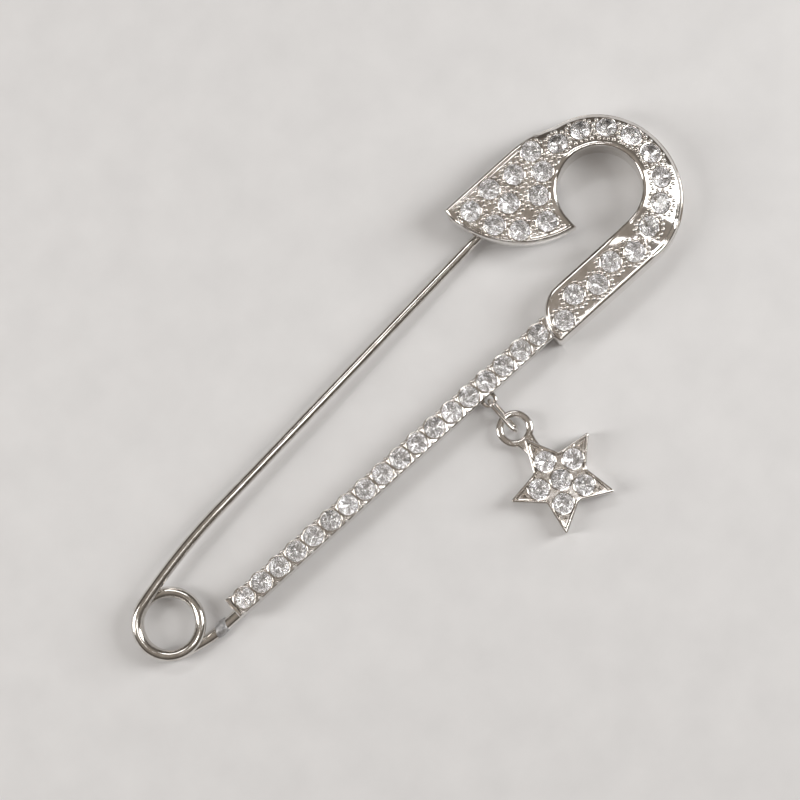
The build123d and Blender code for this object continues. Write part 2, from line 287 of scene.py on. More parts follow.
def smoothed(loop, spacing, corner_degrees=28.0, passes=4):
    """The loop with evenly spaced points, smoothed between its corners."""
    keep = np.linalg.norm(np.roll(loop, -1, 0) - loop, axis=1) > 0.01
    loop = loop[keep]
    ahead, behind = np.roll(loop, -1, 0) - loop, loop - np.roll(loop, 1, 0)
    turn = np.arctan2(
        behind[:, 0] * ahead[:, 1] - behind[:, 1] * ahead[:, 0], (behind * ahead).sum(1)
    )
    corners = np.flatnonzero(np.abs(turn) > math.radians(corner_degrees))
    if len(corners) == 0:
        corners = np.array([0])
    made = []
    for a, b in zip(corners, np.roll(corners, -1)):
        stretch = loop[a : b + 1] if b > a else np.vstack([loop[a:], loop[: b + 1]])
        lengths = np.r_[0, np.cumsum(np.linalg.norm(np.diff(stretch, axis=0), axis=1))]
        count = max(2, int(lengths[-1] / spacing) + 1)
        at = np.linspace(0, lengths[-1], count)
        run = np.stack([np.interp(at, lengths, stretch[:, k]) for k in (0, 1)], 1)
        for _ in range(passes):
            run[1:-1] = 0.25 * run[:-2] + 0.5 * run[1:-1] + 0.25 * run[2:]
        made.append(run[:-1])
    return np.vstack(made)


# ---------------------------------------------------------------- relief of a pave casting
def inside_distance(points, loop):
    """How far inside the loop each point is, and the nearest loop point's index. Outside is negative."""
    a, b = loop, np.roll(loop, -1, 0)
    run = b - a
    best = np.full(len(points), 1e9)
    nearest = np.zeros(len(points), int)
    crossings = np.zeros(len(points), int)
    for i in range(len(loop)):
        t = np.clip(((points - a[i]) @ run[i]) / max(run[i] @ run[i], 1e-12), 0, 1)
        gap = np.linalg.norm(points - a[i] - t[:, None] * run[i], axis=1)
        closer = gap < best
        best[closer] = gap[closer]
        nearest[closer] = i
        straddles = (a[i, 1] > points[:, 1]) != (b[i, 1] > points[:, 1])
        if abs(run[i, 1]) > 1e-12:
            x = a[i, 0] + (points[:, 1] - a[i, 1]) * run[i, 0] / run[i, 1]
            crossings += (straddles & (points[:, 0] < x)).astype(int)
    return np.where(crossings % 2 == 1, best, -best), nearest


def stone_surface(points, seats):
    """The height of a smooth skin that lies in each stone's girdle plane near that stone."""
    total = np.zeros(len(points))
    weights = np.zeros(len(points))
    for centre, axis in seats:
        offset = points - centre[:2]
        plane = centre[2] - (offset @ axis[:2]) / axis[2]
        weight = 1 / ((offset**2).sum(1) + 0.35) ** 2
        total += weight * plane
        weights += weight
    return total / weights


def pit_depth(points, seats):
    """How deep each point lies in a stone's seat, and its distance from the nearest stone's edge."""
    depth = np.zeros(len(points))
    clear = np.full(len(points), 1e9)
    for centre, axis in seats:
        offset = points - centre[:2]
        flat = np.c_[offset, -(offset @ axis[:2]) / axis[2]]
        spread = np.linalg.norm(flat, axis=1)
        edge = STONE_RADIUS + PIT_GAP
        inside = np.clip((edge - spread) / (edge - 0.12), 0, 1)
        wall = np.clip((edge - spread) / 0.03, 0, 1) * 0.14
        depth = np.maximum(depth, inside * PIT_DEPTH + wall)
        clear = np.minimum(clear, spread - STONE_RADIUS)
    return depth, clear


def relief(loop, seats, skirt, level, insets, spacing=0.24):
    """A closed shell: walls up from skirt round the loop, and a top at the given level with pits in it."""
    normals = np.roll(loop, -1, 0) - np.roll(loop, 1, 0)
    normals = np.stack([-normals[:, 1], normals[:, 0]], 1)
    normals /= np.linalg.norm(normals, axis=1)[:, None]
    free = []
    for inset in insets:
        ring = loop + normals * inset
        depth, _ = inside_distance(ring, loop)
        free.append(ring[depth > 0.93 * inset])
    low, high = loop.min(0), loop.max(0)
    xs = np.arange(low[0], high[0], spacing)
    ys = np.arange(low[1], high[1], spacing * 0.866)
    grid = np.array([(x + (spacing / 2 if j % 2 else 0), y) for j, y in enumerate(ys) for x in xs])
    depth, _ = inside_distance(grid, loop)
    free.append(grid[depth > insets[-1] + spacing / 3])
    free = np.vstack(free)
    _, clear = pit_depth(free, seats)
    free = free[(clear > PIT_GAP + 0.07) | (clear < -0.2)]
    rings = []
    for centre, axis in seats:
        u, v = across(axis)
        pit = STONE_RADIUS + PIT_GAP
        for radius in (pit + 0.05, pit, STONE_RADIUS + 0.02, 0.85, 0.12):
            turns = np.linspace(0, 2 * math.pi, 40, endpoint=False)
            ring = centre + radius * (np.outer(np.cos(turns), u) + np.outer(np.sin(turns), v))
            rings.append(ring[:, :2])
    rings = np.vstack(rings)
    depth, _ = inside_distance(rings, loop)
    rings = rings[depth > 0.03]
    points = np.vstack([loop, free, rings])
    count = len(loop)
    edges = [(i, (i + 1) % count) for i in range(count)]
    flat, _, triangles, _, _, _ = delaunay_2d_cdt([Vector(p) for p in points], edges, [], 1, 1e-6)
    flat = np.array([p[:] for p in flat])
    depth, nearest = inside_distance(flat, loop)
    depth = np.maximum(depth, 0)
    heights = level(flat, depth, nearest)
    pits, _ = pit_depth(flat, seats)
    heights = heights - pits * (depth > 1e-4)
    top = np.c_[flat, heights]
    bottom = np.c_[loop, np.full(count, skirt)]
    points = np.vstack([top, bottom])
    base = len(top)
    faces = [tuple(t) for t in triangles]
    for i in range(count):
        j = (i + 1) % count
        faces.append((i, j, base + j, base + i))
    under = delaunay_2d_cdt([Vector(p) for p in loop], edges, [], 1, 1e-6)[2]
    faces += [tuple(base + i for i in t) for t in under]
    return points, faces


def rounding(inside, width, drop):
    """How far a rounded edge falls below the surface, at a distance inside it."""
    t = np.clip(inside / width, 0, 1)
    return drop * (1 - np.sqrt(np.clip(1 - (1 - t) ** 2, 0, 1)))


def bump(x):
    """A smooth hump, 1 at zero and nothing beyond one."""
    return np.where(np.abs(x) < 1, 0.5 + 0.5 * np.cos(math.pi * np.clip(x, -1, 1)), 0)


def gap_beads(loop, seats, margin, smallest, largest, limit, spacing=0.07):
    """Beads that fill the gaps between stones, largest first, as (x, y, radius)."""
    low, high = loop.min(0), loop.max(0)
    xs, ys = np.meshgrid(np.arange(low[0], high[0], spacing), np.arange(low[1], high[1], spacing))
    points = np.stack([xs.ravel(), ys.ravel()], 1)
    depth, nearest = inside_distance(points, loop)
    _, clear = pit_depth(points, seats)
    room = np.minimum(clear + 0.035, depth - margin[nearest])
    close = clear < limit
    points, room = points[close & (room > smallest)], room[close & (room > smallest)]
    found = []
    while len(points):
        best = int(np.argmax(np.minimum(room, largest)))
        radius = min(room[best], largest)
        if radius < smallest:
            break
        x, y = points[best]
        found.append((x, y, radius))
        gap = np.linalg.norm(points - points[best], axis=1)
        room = np.minimum(room, gap - 1.02 * radius)
        keep = room > smallest
        points, room = points[keep], room[keep]
    return found


def bezel(shells, centre, axis, wall=0.10):
    """The thin ring of metal turned over a stone's girdle."""
    r = STONE_RADIUS
    profile = [
        (r + 0.005, -0.22),
        (r + 0.005, 0.09),
        (r - 0.045, 0.125),
        (r - 0.03, 0.160),
        (r + 0.02, 0.175),
        (r + 0.6 * wall, 0.160),
        (r + wall, 0.09),
        (r + wall + 0.02, -0.05),
        (r + wall + 0.02, -0.22),
    ]
    shells.add(*lathe(profile, centre, axis, 48, closed_ring=True))


# ---------------------------------------------------------------- materials
def nodes_of(name):
    material = bpy.data.materials.new(name)
    material.use_nodes = True
    tree = material.node_tree
    shader = tree.nodes["Principled BSDF"]
    return material, tree, shader


def noise(tree, scale, detail=3.0, stretch=(1, 1, 1)):
    place = tree.nodes.new("ShaderNodeTexCoord")
    mapping = tree.nodes.new("ShaderNodeMapping")
    mapping.inputs["Scale"].default_value = stretch
    texture = tree.nodes.new("ShaderNodeTexNoise")
    texture.inputs["Scale"].default_value = scale
    texture.inputs["Detail"].default_value = detail
    tree.links.new(place.outputs["Object"], mapping.inputs["Vector"])
    tree.links.new(mapping.outputs["Vector"], texture.inputs["Vector"])
    return texture.outputs["Fac"]


def ramp(tree, value, stops):
    made = tree.nodes.new("ShaderNodeValToRGB")
    for element, (position, colour) in zip(made.color_ramp.elements, stops):
        element.position = position
        element.color = (*colour, 1)
    tree.links.new(value, made.inputs["Fac"])
    return made.outputs["Color"]


def span(tree, value, low, high):
    made = tree.nodes.new("ShaderNodeMapRange")
    made.inputs["To Min"].default_value = low
    made.inputs["To Max"].default_value = high
    tree.links.new(value, made.inputs["Value"])
    return made.outputs["Result"]


def bumped(tree, shader, value, distance, strength=1.0):
    made = tree.nodes.new("ShaderNodeBump")
    made.inputs["Distance"].default_value = distance
    made.inputs["Strength"].default_value = strength
    tree.links.new(value, made.inputs["Height"])
    tree.links.new(made.outputs["Normal"], shader.inputs["Normal"])


def plated_metal(name, dark, light, rough, ripple, scale, stretch=(1, 1, 1)):
    """Bright plating with faint clouding, uneven polish and the ripple of the casting under it."""
    material, tree, shader = nodes_of(name)
    shader.inputs["Metallic"].default_value = 1.0
    cloud = noise(tree, scale, 4.0, stretch)
    tree.links.new(ramp(tree, cloud, ((0.35, dark), (0.65, light))), shader.inputs["Base Color"])
    tree.links.new(span(tree, noise(tree, scale * 2.7, 2.0, stretch), *rough), shader.inputs["Roughness"])
    bumped(tree, shader, noise(tree, scale * 1.4, 2.0, stretch), ripple)
    return material


def matte_solder():
    """Soft solder: dull, grey and pitted."""
    material, tree, shader = nodes_of("dull_solder")
    shader.inputs["Metallic"].default_value = 0.85
    grain = noise(tree, 2600.0, 6.0)
    grey = ramp(tree, grain, ((0.3, (0.30, 0.30, 0.31)), (0.7, (0.62, 0.62, 0.63))))
    tree.links.new(grey, shader.inputs["Base Color"])
    tree.links.new(span(tree, grain, 0.62, 0.42), shader.inputs["Roughness"])
    bumped(tree, shader, grain, 0.00006)
    return material


def clear_crystal():
    """Lead crystal: clear and sharp, with faint wipe marks on the facets."""
    material, tree, shader = nodes_of("crystal_glass")
    shader.inputs["Base Color"].default_value = (1.0, 1.0, 1.0, 1)
    shader.inputs["Transmission Weight"].default_value = 1.0
    shader.inputs["IOR"].default_value = 1.56
    tree.links.new(span(tree, noise(tree, 900.0, 3.0), 0.0, 0.02), shader.inputs["Roughness"])
    return material


def mirror_foil():
    """The silvered back of a crystal, seen through it."""
    material, tree, shader = nodes_of("crystal_foil")
    shader.inputs["Metallic"].default_value = 1.0
    tint = ramp(tree, noise(tree, 700.0, 2.0), ((0.3, (0.86, 0.86, 0.88)), (0.7, (0.97, 0.97, 0.98))))
    tree.links.new(tint, shader.inputs["Base Color"])
    tree.links.new(span(tree, noise(tree, 1800.0, 2.0), 0.16, 0.30), shader.inputs["Roughness"])
    return material


def studio_paper():
    material, tree, shader = nodes_of("studio_paper")
    fibre = noise(tree, 220.0, 5.0)
    pale = ramp(tree, fibre, ((0.3, (0.70, 0.70, 0.71)), (0.7, (0.74, 0.74, 0.75))))
    tree.links.new(pale, shader.inputs["Base Color"])
    shader.inputs["Roughness"].default_value = 0.85
    return material


casting_metal = plated_metal(
    "rhodium_casting",
    dark=(0.66, 0.63, 0.60),
    light=(0.84, 0.82, 0.80),
    rough=(0.06, 0.17),
    ripple=0.000018,
    scale=520.0,
)
wire_metal = plated_metal(
    "rhodium_wire",
    dark=(0.62, 0.59, 0.56),
    light=(0.78, 0.76, 0.73),
    rough=(0.08, 0.20),
    ripple=0.000010,
    scale=700.0,
)
solder_metal = matte_solder()
glass = clear_crystal()
foil = mirror_foil()


# ---------------------------------------------------------------- crystals
def brilliant_mesh(cut):
    """A round chaton: octagonal table, star, kite and girdle facets, and a silvered eight-sided pavilion.

    The facets of each cut differ by a few hundredths of a millimetre, as on machine-cut glass.
    """
    uneven = np.random.default_rng(cut)
    r, table = STONE_RADIUS, STONE_RADIUS * TABLE_SHARE
    top, girdle = GIRDLE_HEIGHT + CROWN_HEIGHT, GIRDLE_HEIGHT
    star, lower = 0.83 * r, 0.30 * r
    step = math.pi / 8

    def at(radius, turn, height):
        return (radius * math.cos(turn), radius * math.sin(turn), height)

    star_height = top - CROWN_HEIGHT * (star * math.cos(step) - table) / (r - table)
    lower_height = -PAVILION_DEPTH * (1 - lower * math.cos(step) / r)
    shells = Shells()
    points = [at(table, 2 * k * step, top) for k in range(8)]
    points += [at(star, (2 * k + 1) * step, star_height + uneven.uniform(-0.012, 0.012)) for k in range(8)]
    points += [at(r, k * step, girdle) for k in range(16)]
    points += [at(r, k * step, 0) for k in range(16)]
    points += [
        at(lower * uneven.uniform(0.8, 1.25), (2 * k + 1) * step, lower_height + uneven.uniform(-0.05, 0.05))
        for k in range(8)
    ]
    points.append((uneven.uniform(-0.06, 0.06), uneven.uniform(-0.06, 0.06), -PAVILION_DEPTH))
    crown, stars, upper, under, low, culet = 0, 8, 16, 32, 48, 56
    faces = [tuple(range(8))]
    back = []
    for k in range(8):
        n = (k + 1) % 8
        left, right = (2 * k) % 16, (2 * k + 2) % 16
        middle = 2 * k + 1
        faces.append((crown + k, stars + k, crown + n))
        faces.append((crown + k, stars + (k - 1) % 8, upper + left, stars + k))
        faces.append((stars + k, upper + left, upper + middle))
        faces.append((stars + k, upper + middle, upper + right))
        faces.append((upper + left, under + left, under + middle, upper + middle))
        faces.append((upper + middle, under + middle, under + right, upper + right))
        back.append((low + k, under + left, under + middle))
        back.append((low + k, under + middle, under + right))
        back.append((culet, low + (k - 1) % 8, under + left, low + k))
    shells.add(points, faces, 0)
    shells.faces.extend(back)
    shells.materials.extend([1] * len(back))
    template = shells.piece("brilliant_template", [glass, foil])
    mesh = template.data
    mesh.shade_flat()
    bpy.data.objects.remove(template)
    return mesh


brilliants = [brilliant_mesh(cut) for cut in range(6)]
crystal_nodes = [name for name in sorted(frame["nodes"]) if "_crystal_" in name]
wobble = np.random.default_rng(20240611)
for number, name in enumerate(crystal_nodes):
    centre, axis = seat_of(name)
    spin = wobble.uniform(0, math.pi / 4)
    tip = math.radians(wobble.uniform(0.5, 4.0))
    toward = wobble.uniform(0, 2 * math.pi)
    stone = bpy.data.objects.new(name.replace("crystal", "brilliant"), brilliants[number % len(brilliants)])
    bpy.context.scene.collection.objects.link(stone)
    upright = Vector((0, 0, 1)).rotation_difference(Vector(axis)).to_matrix().to_4x4()
    lean = Matrix.Rotation(tip, 4, Vector((math.cos(toward), math.sin(toward), 0)))
    stone.matrix_world = (
        Matrix.Translation(Vector(centre) * MM) @ upright @ lean @ Matrix.Rotation(spin, 4, "Z")
    )
    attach(stone, frame["nodes"][name]["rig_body"])
    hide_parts(name)


# ---------------------------------------------------------------- head
HEAD_CUT = 2.9
HEAD_LIFT = 0.08
head_seats = seats_of("head_crystal")
head_loop = smoothed(section("head_casting", HEAD_CUT), 0.18)


def circle_through(a, b, c):
    """The centre of the circle through three points of the plane."""
    matrix = 2 * np.array([b - a, c - a])
    return np.linalg.solve(matrix, np.array([b @ b - a @ a, c @ c - a @ a]))


LOOP_SEATS = range(10, 18)
hole_centre = circle_through(*[head_seats[i][0][:2] for i in (LOOP_SEATS[0], LOOP_SEATS[3], LOOP_SEATS[-1])])
ARM_FROM_HOLE = 6.0
ARM_SLICE = 0.3
arm_sides = head_loop[np.abs(head_loop[:, 0] - (hole_centre[0] - ARM_FROM_HOLE)) < ARM_SLICE, 1]
hole_radius = hole_centre[1] - arm_sides[arm_sides > arm_sides.min() + 2.0].min()


def head_styles(loop):
    """Rounding width and drop, rim height, groove depth and bead margin at each point of the outline."""
    spread = np.linalg.norm(loop - hole_centre, axis=1)
    x, y = (loop - hole_centre).T
    inner = (spread < hole_radius + 0.25) | ((y < -hole_radius + 0.4) & (y > -hole_radius - 0.4) & (x < 0))
    shield = ~inner & (x < -1.0) & (y > -3.0)
    top_edge = shield & (y > 6.6)
    outer = ~inner & ~shield & (x > -1.0) & (y > -hole_radius - 3.6)
    style = np.tile(np.array([0.42, 0.40, 0.04, 0.04, 0.42]), (len(loop), 1))
    style[inner] = (0.46, 0.34, 0.0, 0.0, 0.55)
    style[shield] = (0.24, 0.20, 0.13, 0.16, 0.56)
    style[top_edge] = (0.36, 0.34, 0.0, 0.03, 0.40)
    style[outer] = (0.85, 0.66, 0.0, 0.02, 0.40)
    for _ in range(6):
        style = 0.25 * np.roll(style, 1, 0) + 0.5 * style + 0.25 * np.roll(style, -1, 0)
    return style


head_style = head_styles(head_loop)


def head_level(points, inside, nearest):
    style = head_style[nearest]
    skin = stone_surface(points, head_seats) + HEAD_LIFT
    skin = skin + style[:, 2] * bump((inside - 0.22) / 0.24) - style[:, 3] * bump((inside - 0.50) / 0.14)
    return skin - rounding(inside, style[:, 0], style[:, 1])


def head_casting():
    shells = Shells()
    insets = [0.02, 0.05, 0.09, 0.14, 0.20, 0.26, 0.32, 0.39, 0.46, 0.53, 0.60, 0.68, 0.77]
    shells.add(*relief(head_loop, head_seats, HEAD_CUT - 0.05, head_level, insets))
    for centre, axis in head_seats:
        bezel(shells, centre, axis)
    for x, y, radius in gap_beads(head_loop, head_seats, head_style[:, 4], 0.145, 0.23, 0.42):
        place = np.array([[x, y]])
        _, nearest = inside_distance(place, head_loop)
        level = head_level(place, np.array([1.0]), nearest)[0]
        shells.add(*bead((x, y, level - 0.02), (0, 0, 1), radius, 0.9 * radius + 0.05, sunk=1.0))
    lower = welded("head_casting")
    edges = cut_at(lower, HEAD_CUT, True)
    bmesh.ops.triangle_fill(lower, edges=edges, use_beauty=True)
    points = [np.array(v.co) / MM for v in lower.verts]
    shells.add(points, [[v.index for v in face.verts] for face in lower.faces])
    lower.free()
    made = shells.piece("head_casting_pave", [casting_metal])
    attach(made, "frame")
    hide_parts("head_casting")


head_casting()


# ---------------------------------------------------------------- bar
BAR_TOP = 2.05
BAR_ROUND = 0.28
PRONG_RADIUS = 0.17
PRONG_OUT = 0.93
bar_seats = seats_of("bar_crystal")
bar_low, bar_high = [np.array(corner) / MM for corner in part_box("bar_casting")]
bar_half = bar_high[1]
bar_pitch = (bar_seats[-1][0][0] - bar_seats[0][0][0]) / (len(bar_seats) - 1)
END_PLATE = 0.35
STUB_LENGTH = 2.15
plate_x = bar_low[0] + STUB_LENGTH


def rounded_section(half, low, high, radius, steps=5):
    """A rounded oblong as (y, z) points."""
    made = []
    corners = ((half - radius, high - radius), (radius - half, high - radius),
               (radius - half, low + radius), (half - radius, low + radius))
    for quarter, (y, z) in enumerate(corners):
        for i in range(steps + 1):
            turn = math.pi / 2 * (quarter + i / steps)
            made.append((y + radius * math.cos(turn), z + radius * math.sin(turn)))
    return made


def beam(shells, stations):
    """A closed bar along X through (x, section) stations, whose sections have the same number of points."""
    points, faces = [], []
    ring = len(stations[0][1])
    for x, shape in stations:
        points += [(x, y, z) for y, z in shape]
    for i in range(len(stations) - 1):
        for k in range(ring):
            m = (k + 1) % ring
            faces.append((i * ring + k, i * ring + m, (i + 1) * ring + m, (i + 1) * ring + k))
    faces.append(tuple(range(ring)))
    faces.append(tuple((len(stations) - 1) * ring + k for k in range(ring)))
    shells.add(points, faces)


def bar_casting():
    shells = Shells()
    body = rounded_section(bar_half - 0.03, 0.0, BAR_TOP, 0.2)
    beam(shells, [(plate_x + 0.05, body), (bar_high[0], body)])
    top = bar_high[2] + 0.02
    plate = rounded_section(bar_half, 0.0, top, BAR_ROUND)
    trimmed = rounded_section(bar_half - 0.07, 0.07, top - 0.07, BAR_ROUND - 0.06)
    beam(shells, [(plate_x, trimmed), (plate_x + 0.07, plate), (plate_x + END_PLATE - 0.05, plate),
                  (plate_x + END_PLATE, trimmed)])
    r = STONE_RADIUS
    cup = [
        (0, -1.02), (0.5, -1.02), (0.86, -0.95), (0.97, -0.80), (r + 0.02, -0.35), (r + 0.07, -0.05),
        (r + 0.115, 0.07), (r + 0.10, 0.135), (r + 0.04, 0.165), (r - 0.03, 0.155), (r - 0.045, 0.12),
        (r + 0.004, 0.09), (r + 0.004, -0.01), (0.1, -0.84), (0, -0.84),
    ]
    for centre, axis in bar_seats:
        shells.add(*lathe(cup, centre, axis, 44))
    prong = [
        (0, -1.2),
        (0.24, -1.2),
        (0.20, -0.5),
        (PRONG_RADIUS, 0.02),
        (0.16, 0.12),
        (0.11, 0.19),
        (0.05, 0.225),
        (0, 0.235),
    ]
    girdle = bar_seats[0][0][2]
    for i in range(-1, len(bar_seats)):
        x = bar_seats[0][0][0] + (i + 0.5) * bar_pitch
        if i == -1:
            x += 0.10
        for side in (-1, 1):
            shells.add(*lathe(prong, np.array([x, side * PRONG_OUT, girdle]), (0, 0, 1), 14))
    stub_y, stub_z = leg_line
    path = [(x, stub_y, stub_z) for x in np.linspace(bar_low[0], plate_x + 0.2, 8)]
    shells.add(*tube(path, WIRE_RADIUS, 28))
    made = shells.piece("bar_casting_cups", [casting_metal])
    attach(made, "frame")
    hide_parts("bar_casting")


# ---------------------------------------------------------------- spring wire
LEAVE_ANGLE = 257.0
LEG_ROUNDING = 1.2
joint_at = {joint["name"]: np.array(joint["pos_m"]) / MM for joint in frame["joints"]}
coil_centre = joint_at["pin_swing"][:2]
pin_start = joint_at["pin_latch"]
leg_low, leg_high = [np.array(corner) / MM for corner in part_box("wire_leg")]
WIRE_RADIUS = (leg_high[2] - leg_low[2]) / 2
leg_line = (leg_low[1] + WIRE_RADIUS, (leg_low[2] + leg_high[2]) / 2)
coil_radius = np.linalg.norm(pin_start[:2] - coil_centre)
end_angle = math.degrees(math.atan2(*(pin_start[:2] - coil_centre)[::-1]))
wire_turn = LEAVE_ANGLE - end_angle + 360.0


def bend(a, corner, b, count):
    """Points along a smooth bend from a to b that heads for the corner."""
    t = np.linspace(0, 1, count)[:, None]
    return (1 - t) ** 2 * np.asarray(a) + 2 * t * (1 - t) * np.asarray(corner) + t**2 * np.asarray(b)


def spring_wire():
    """The leg and the whole coil in one wire, which twists between the coil's low and high turns."""
    leave = math.radians(LEAVE_ANGLE)
    low = leg_line[1]
    off = np.array([*(coil_centre + coil_radius * np.array([math.cos(leave), math.sin(leave)])), low])
    away = np.array([-math.sin(leave), math.cos(leave), 0.0])
    if away[0] < 0:
        away = -away
    corner = off + away * (leg_line[0] - off[1]) / away[1]
    joint = np.array([leg_high[0] + 0.05, leg_line[0], low])
    first = corner + np.array([1.0, 0, 0]) * LEG_ROUNDING
    last = corner - away * LEG_ROUNDING
    path = [joint, *bend(first, corner, last, 9)]
    steps = int(wire_turn / 5)
    for i in range(steps + 1):
        turned = wire_turn * i / steps
        turn = leave - math.radians(turned)
        flat = coil_centre + coil_radius * np.array([math.cos(turn), math.sin(turn)])
        path.append(np.array([*flat, low + (pin_start[2] - low) * turned / wire_turn]))
    path.append(path[-1] + unit(path[-1] - path[-2]) * 0.15)
    shells = Shells()
    shells.add(*tube(path, WIRE_RADIUS, 28))
    made = shells.piece("spring_wire", [wire_metal])
    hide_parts("wire_leg", "spring_coil", "coil_top_turn")
    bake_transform(made)


spring_wire()

PIN_BEND = 6.0
PIN_TAPER = 4.0
PIN_POINT = 5.0
PIN_OVERLAP = 0.10


def pin():
    """The pin: a bend that leaves the coil, a taper, a straight shank with drawing marks, and the point."""
    mount = next(m for m in frame["record"]["mounts"] if m["name"] == "pin_shank")
    along = unit(mount["axis"])
    middle = np.array(mount["pos_m"]) / MM
    thin = mount["dims"]["r_mm"]
    low, high = [np.array(corner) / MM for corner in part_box("pin_stem")]
    tip = middle + along * (high[0] - 0.01 - middle[0]) / along[0]
    shank_end = tip - along * PIN_POINT
    outward = unit(np.array([pin_start[1] - coil_centre[1], coil_centre[0] - pin_start[0], 0.0]))
    gap = middle[:2] - pin_start[:2]
    reach = (gap[0] * along[1] - gap[1] * along[0]) / (outward[0] * along[1] - outward[1] * along[0])
    corner = pin_start + outward * reach
    corner[2] = middle[2] + along[2] * (corner[0] - middle[0]) / along[0]
    straight = corner + along * PIN_BEND
    path = [pin_start - outward * PIN_OVERLAP, *bend(pin_start, corner, straight, 26)]
    radii = [WIRE_RADIUS + 0.006] * len(path)
    for t in np.linspace(0, 1, 9)[1:]:
        path.append(straight + along * PIN_TAPER * t)
        radii.append(WIRE_RADIUS + (thin - WIRE_RADIUS) * t)
    start = path[-1]
    for t in np.linspace(0, 1, 60)[1:]:
        path.append(start + (shank_end - start) * t)
        radii.append(thin * (1 - 0.07 * t) * (1 + 0.006 * math.sin(37.0 * t) * math.sin(91.0 * t)))
    last = radii[-1]
    for t in (0.1, 0.25, 0.45, 0.65, 0.82, 0.92, 0.98, 1.0):
        path.append(shank_end + (tip - shank_end) * t)
        radii.append(last * (1 - t) ** 0.8 + 0.05 * (1 - t) + 0.012)
    shells = Shells()
    shells.add(*tube(path, radii, 28))
    made = shells.piece("pin", [wire_metal])
    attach(made, "pin")
    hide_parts("pin_stem")


pin()
bar_casting()


# ---------------------------------------------------------------- solder over the butt joint
SOLDER_LUMP = 0.016
SOLDER_THICKNESS = 0.15
SOLDER_SLANT = 0.28


def solder():
    low, high = [np.array(corner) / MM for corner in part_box("solder_joint")]
    middle, half = (low[0] + high[0]) / 2, (high[0] - low[0]) / 2
    lumps = np.random.default_rng(7).uniform(-1, 1, (4, 3))
    rows, around = 17, 32
    points, faces = [], []
    for i in range(rows):
        t = 2 * i / (rows - 1) - 1
        for k in range(around):
            turn = 2 * math.pi * k / around
            swell = math.sqrt(max(0.0, 1 - abs(t) ** 3.0))
            lump = sum(
                SOLDER_LUMP * a * math.sin((j + 1) * turn + 3 * b + (j + 2) * t * c)
                for j, (a, b, c) in enumerate(lumps)
            )
            thick = (SOLDER_THICKNESS * (0.75 + 0.25 * math.sin(turn + 0.6)) + lump) * swell
            radius = WIRE_RADIUS - 0.02 * (1 - swell) + thick
            x = middle + half * t + SOLDER_SLANT * math.sin(turn + 2.2)
            z = max(leg_line[1] + radius * math.sin(turn), 0.01)
            points.append((x, leg_line[0] + radius * math.cos(turn), z))
    for i in range(rows - 1):
        for k in range(around):
            m = (k + 1) % around
            faces.append((i * around + k, i * around + m, (i + 1) * around + m, (i + 1) * around + k))
    faces.append(tuple(range(around)))
    faces.append(tuple((rows - 1) * around + k for k in range(around)))
    shells = Shells()
    shells.add(points, faces)
    made = shells.piece("solder_bead", [solder_metal], sharp=80)
    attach(made, "frame")
    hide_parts("solder_joint")


solder()


# ---------------------------------------------------------------- eye and link
LINK_SLACK = 0.10
LINK_LENGTH = 2.60
LINK_BEND = 0.64
LINK_WIRE = 0.20
BAIL_RING = 1.45


def eye():
    low, high = [np.array(corner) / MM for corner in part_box("charm_eye")]
    radius = (high[2] - low[2]) / 2
    x, z = (low[0] + high[0]) / 2, (low[2] + high[2]) / 2
    half = (high[0] - low[0]) / 2 - radius
    centre_y = low[1] + radius + half
    path = [(x - half, high[1] + 0.15, z), (x - half, (high[1] + centre_y) / 2, z)]
    for turn in np.linspace(math.pi, 2 * math.pi, 19):
        path.append((x + half * math.cos(turn), centre_y + half * math.sin(turn), z))
    path += [(x + half, (high[1] + centre_y) / 2, z), (x + half, high[1] + 0.15, z)]
    shells = Shells()
    shells.add(*tube(path, radius, 18))
    for side in (-1, 1):
        foot = [
            (0, -0.05),
            (radius + 0.14, -0.05),
            (radius + 0.09, 0.05),
            (radius + 0.03, 0.14),
            (radius - 0.02, 0.24),
            (0, 0.24),
        ]
        shells.add(*lathe(foot, np.array([x + side * half, high[1] + 0.03, z]), (0, -1, 0), 20))
    made = shells.piece("charm_eye_cast", [casting_metal])
    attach(made, "frame")
    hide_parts("charm_eye")


def link():
    """A long oval of wire through the eye and the star's ring."""
    low, high = [np.array(corner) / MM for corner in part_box("charm_link")]
    eye_point, bail = joint_at["link_tip"], joint_at["star_swing"]
    far_side = np.array([bail[0], bail[1] + BAIL_RING, bail[2]])
    along = unit(far_side - eye_point)
    roll = math.asin(min(1.0, ((high[0] - low[0]) / 2 - LINK_WIRE) / LINK_BEND))
    flat, upright = np.array([1.0, 0, 0]), unit(np.cross((1.0, 0, 0), along))
    side = math.cos(roll) * upright + math.sin(roll) * flat
    near = eye_point + along * LINK_SLACK
    far = near + along * LINK_LENGTH
    path = []
    for centre, heading, start in ((near, -along, 1), (far, along, -1)):
        for turn in np.linspace(0, math.pi, 15):
            path.append(centre + LINK_BEND * (start * math.cos(turn) * side + math.sin(turn) * heading))
    shells = Shells()
    shells.add(*tube(path, LINK_WIRE, 18, closed=True))
    made = shells.piece("charm_link_wire", [casting_metal])
    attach(made, "link")
    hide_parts("charm_link")


eye()
link()


# ---------------------------------------------------------------- star
STAR_CUT = 0.5
STAR_RIM = 0.24
STAR_RECESS = 0.34
BAIL_WIDTH = 0.72
BAIL_THICKNESS = 0.60
star_seats = seats_of("star_crystal")
star_top = star_seats[0][0][2] + 0.10
star_loop = smoothed(section("star_casting", STAR_CUT), 0.12, passes=2)


def star_level(points, inside, nearest):
    fall = np.clip((inside - STAR_RIM) / 0.12, 0, 1)
    level = star_top + 0.06 - STAR_RECESS * fall * fall * (3 - 2 * fall)
    return level - rounding(inside, 0.16, 0.15)


